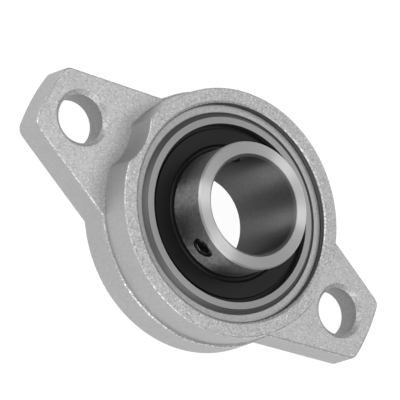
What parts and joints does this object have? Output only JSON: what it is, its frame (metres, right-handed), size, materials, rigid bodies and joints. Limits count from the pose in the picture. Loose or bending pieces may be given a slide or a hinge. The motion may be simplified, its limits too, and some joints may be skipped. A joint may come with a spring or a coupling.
{
  "type": "two-bolt flange bearing",
  "caption": "Lozenge flange housing with a bolt hole in each ear and a round hub; inside, a sealed self-aligning ball bearing with a long inner race, held to its shaft by grub screws.",
  "frame": {"origin": "on the shaft's axis, in the plane of the mounting face", "axes": "+Z along the shaft's axis towards the collar, +X through the centre of a bolt hole, +Y across the flange"},
  "size_m": [0.089, 0.0544, 0.021],
  "materials": {
    "zinc_casting": "die-cast zinc alloy, shot-blasted to a fine sparkle",
    "zinc_ring": "die-cast zinc alloy, as cast",
    "race_steel": "bearing steel, fine ground",
    "seal_rubber": "moulded nitrile rubber, satin black",
    "core_steel": "pressed sheet steel",
    "ball_steel": "polished chromium steel",
    "cage_steel": "pressed sheet steel, riveted",
    "screw_steel": "alloy steel, black oxide"
  },
  "bodies": {
    "housing": {"housing": "zinc_casting"},
    "swivel": {"swivel_ring": "zinc_ring", "outer_race": "race_steel", "front_seal": "seal_rubber", "front_seal_core": "core_steel", "rear_seal": "seal_rubber", "rear_seal_core": "core_steel"},
    "inner": {"inner_race": "race_steel"},
    "cage": {"cage_front": "cage_steel", "cage_rear": "cage_steel", "cage_rivets": "cage_steel"},
    "ball_1": {"ball_1": "ball_steel"},
    "ball_2": {"ball_2": "ball_steel"},
    "ball_3": {"ball_3": "ball_steel"},
    "ball_4": {"ball_4": "ball_steel"},
    "ball_5": {"ball_5": "ball_steel"},
    "ball_6": {"ball_6": "ball_steel"},
    "ball_7": {"ball_7": "ball_steel"},
    "ball_8": {"ball_8": "ball_steel"},
    "ball_9": {"ball_9": "ball_steel"},
    "screw_a": {"setscrew_a": "screw_steel"},
    "screw_b": {"setscrew_b": "screw_steel"}
  },
  "joints": [
    {"name": "align_tilt", "type": "hinge", "parent": "housing", "child": "swivel", "pos_m": [0, 0, 0.007], "axis": [0, 1, 0], "range_deg": [-2, 2]},
    {"name": "shaft_spin", "type": "hinge", "parent": "swivel", "child": "inner", "pos_m": [0, 0, 0.007], "axis": [0, 0, 1], "continuous": true},
    {"name": "cage_orbit", "type": "hinge", "parent": "swivel", "child": "cage", "pos_m": [0, 0, 0.007], "axis": [0, 0, 1], "continuous": true},
    {"name": "ball_1_spin", "type": "hinge", "parent": "cage", "child": "ball_1", "pos_m": [0.0155, 0, 0.007], "axis": [0, 0, 1], "continuous": true},
    {"name": "ball_2_spin", "type": "hinge", "parent": "cage", "child": "ball_2", "pos_m": [0.01188, 0.00997, 0.007], "axis": [0, 0, 1], "continuous": true},
    {"name": "ball_3_spin", "type": "hinge", "parent": "cage", "child": "ball_3", "pos_m": [0.00269, 0.01527, 0.007], "axis": [0, 0, 1], "continuous": true},
    {"name": "ball_4_spin", "type": "hinge", "parent": "cage", "child": "ball_4", "pos_m": [-0.00775, 0.01343, 0.007], "axis": [0, 0, 1], "continuous": true},
    {"name": "ball_5_spin", "type": "hinge", "parent": "cage", "child": "ball_5", "pos_m": [-0.01457, 0.0053, 0.007], "axis": [0, 0, 1], "continuous": true},
    {"name": "ball_6_spin", "type": "hinge", "parent": "cage", "child": "ball_6", "pos_m": [-0.01457, -0.0053, 0.007], "axis": [0, 0, 1], "continuous": true},
    {"name": "ball_7_spin", "type": "hinge", "parent": "cage", "child": "ball_7", "pos_m": [-0.00775, -0.01343, 0.007], "axis": [0, 0, 1], "continuous": true},
    {"name": "ball_8_spin", "type": "hinge", "parent": "cage", "child": "ball_8", "pos_m": [0.00269, -0.01527, 0.007], "axis": [0, 0, 1], "continuous": true},
    {"name": "ball_9_spin", "type": "hinge", "parent": "cage", "child": "ball_9", "pos_m": [0.01188, -0.00997, 0.007], "axis": [0, 0, 1], "continuous": true},
    {"name": "screw_a_travel", "type": "slide", "parent": "inner", "child": "screw_a", "axis": [-0.309, -0.9511, 0], "range_m": [-0.0005, 0.0016]},
    {"name": "screw_b_travel", "type": "slide", "parent": "inner", "child": "screw_b", "axis": [-0.6691, 0.7431, 0], "range_m": [-0.0005, 0.0016]}
  ],
  "couplings": [
    {"joint": "cage_orbit", "follows": "shaft_spin", "ratio": 0.39761},
    {"joint": "ball_1_spin", "follows": "shaft_spin", "ratio": -2.3393},
    {"joint": "ball_2_spin", "follows": "shaft_spin", "ratio": -2.3393},
    {"joint": "ball_3_spin", "follows": "shaft_spin", "ratio": -2.3393},
    {"joint": "ball_4_spin", "follows": "shaft_spin", "ratio": -2.3393},
    {"joint": "ball_5_spin", "follows": "shaft_spin", "ratio": -2.3393},
    {"joint": "ball_6_spin", "follows": "shaft_spin", "ratio": -2.3393},
    {"joint": "ball_7_spin", "follows": "shaft_spin", "ratio": -2.3393},
    {"joint": "ball_8_spin", "follows": "shaft_spin", "ratio": -2.3393},
    {"joint": "ball_9_spin", "follows": "shaft_spin", "ratio": -2.3393}
  ]
}
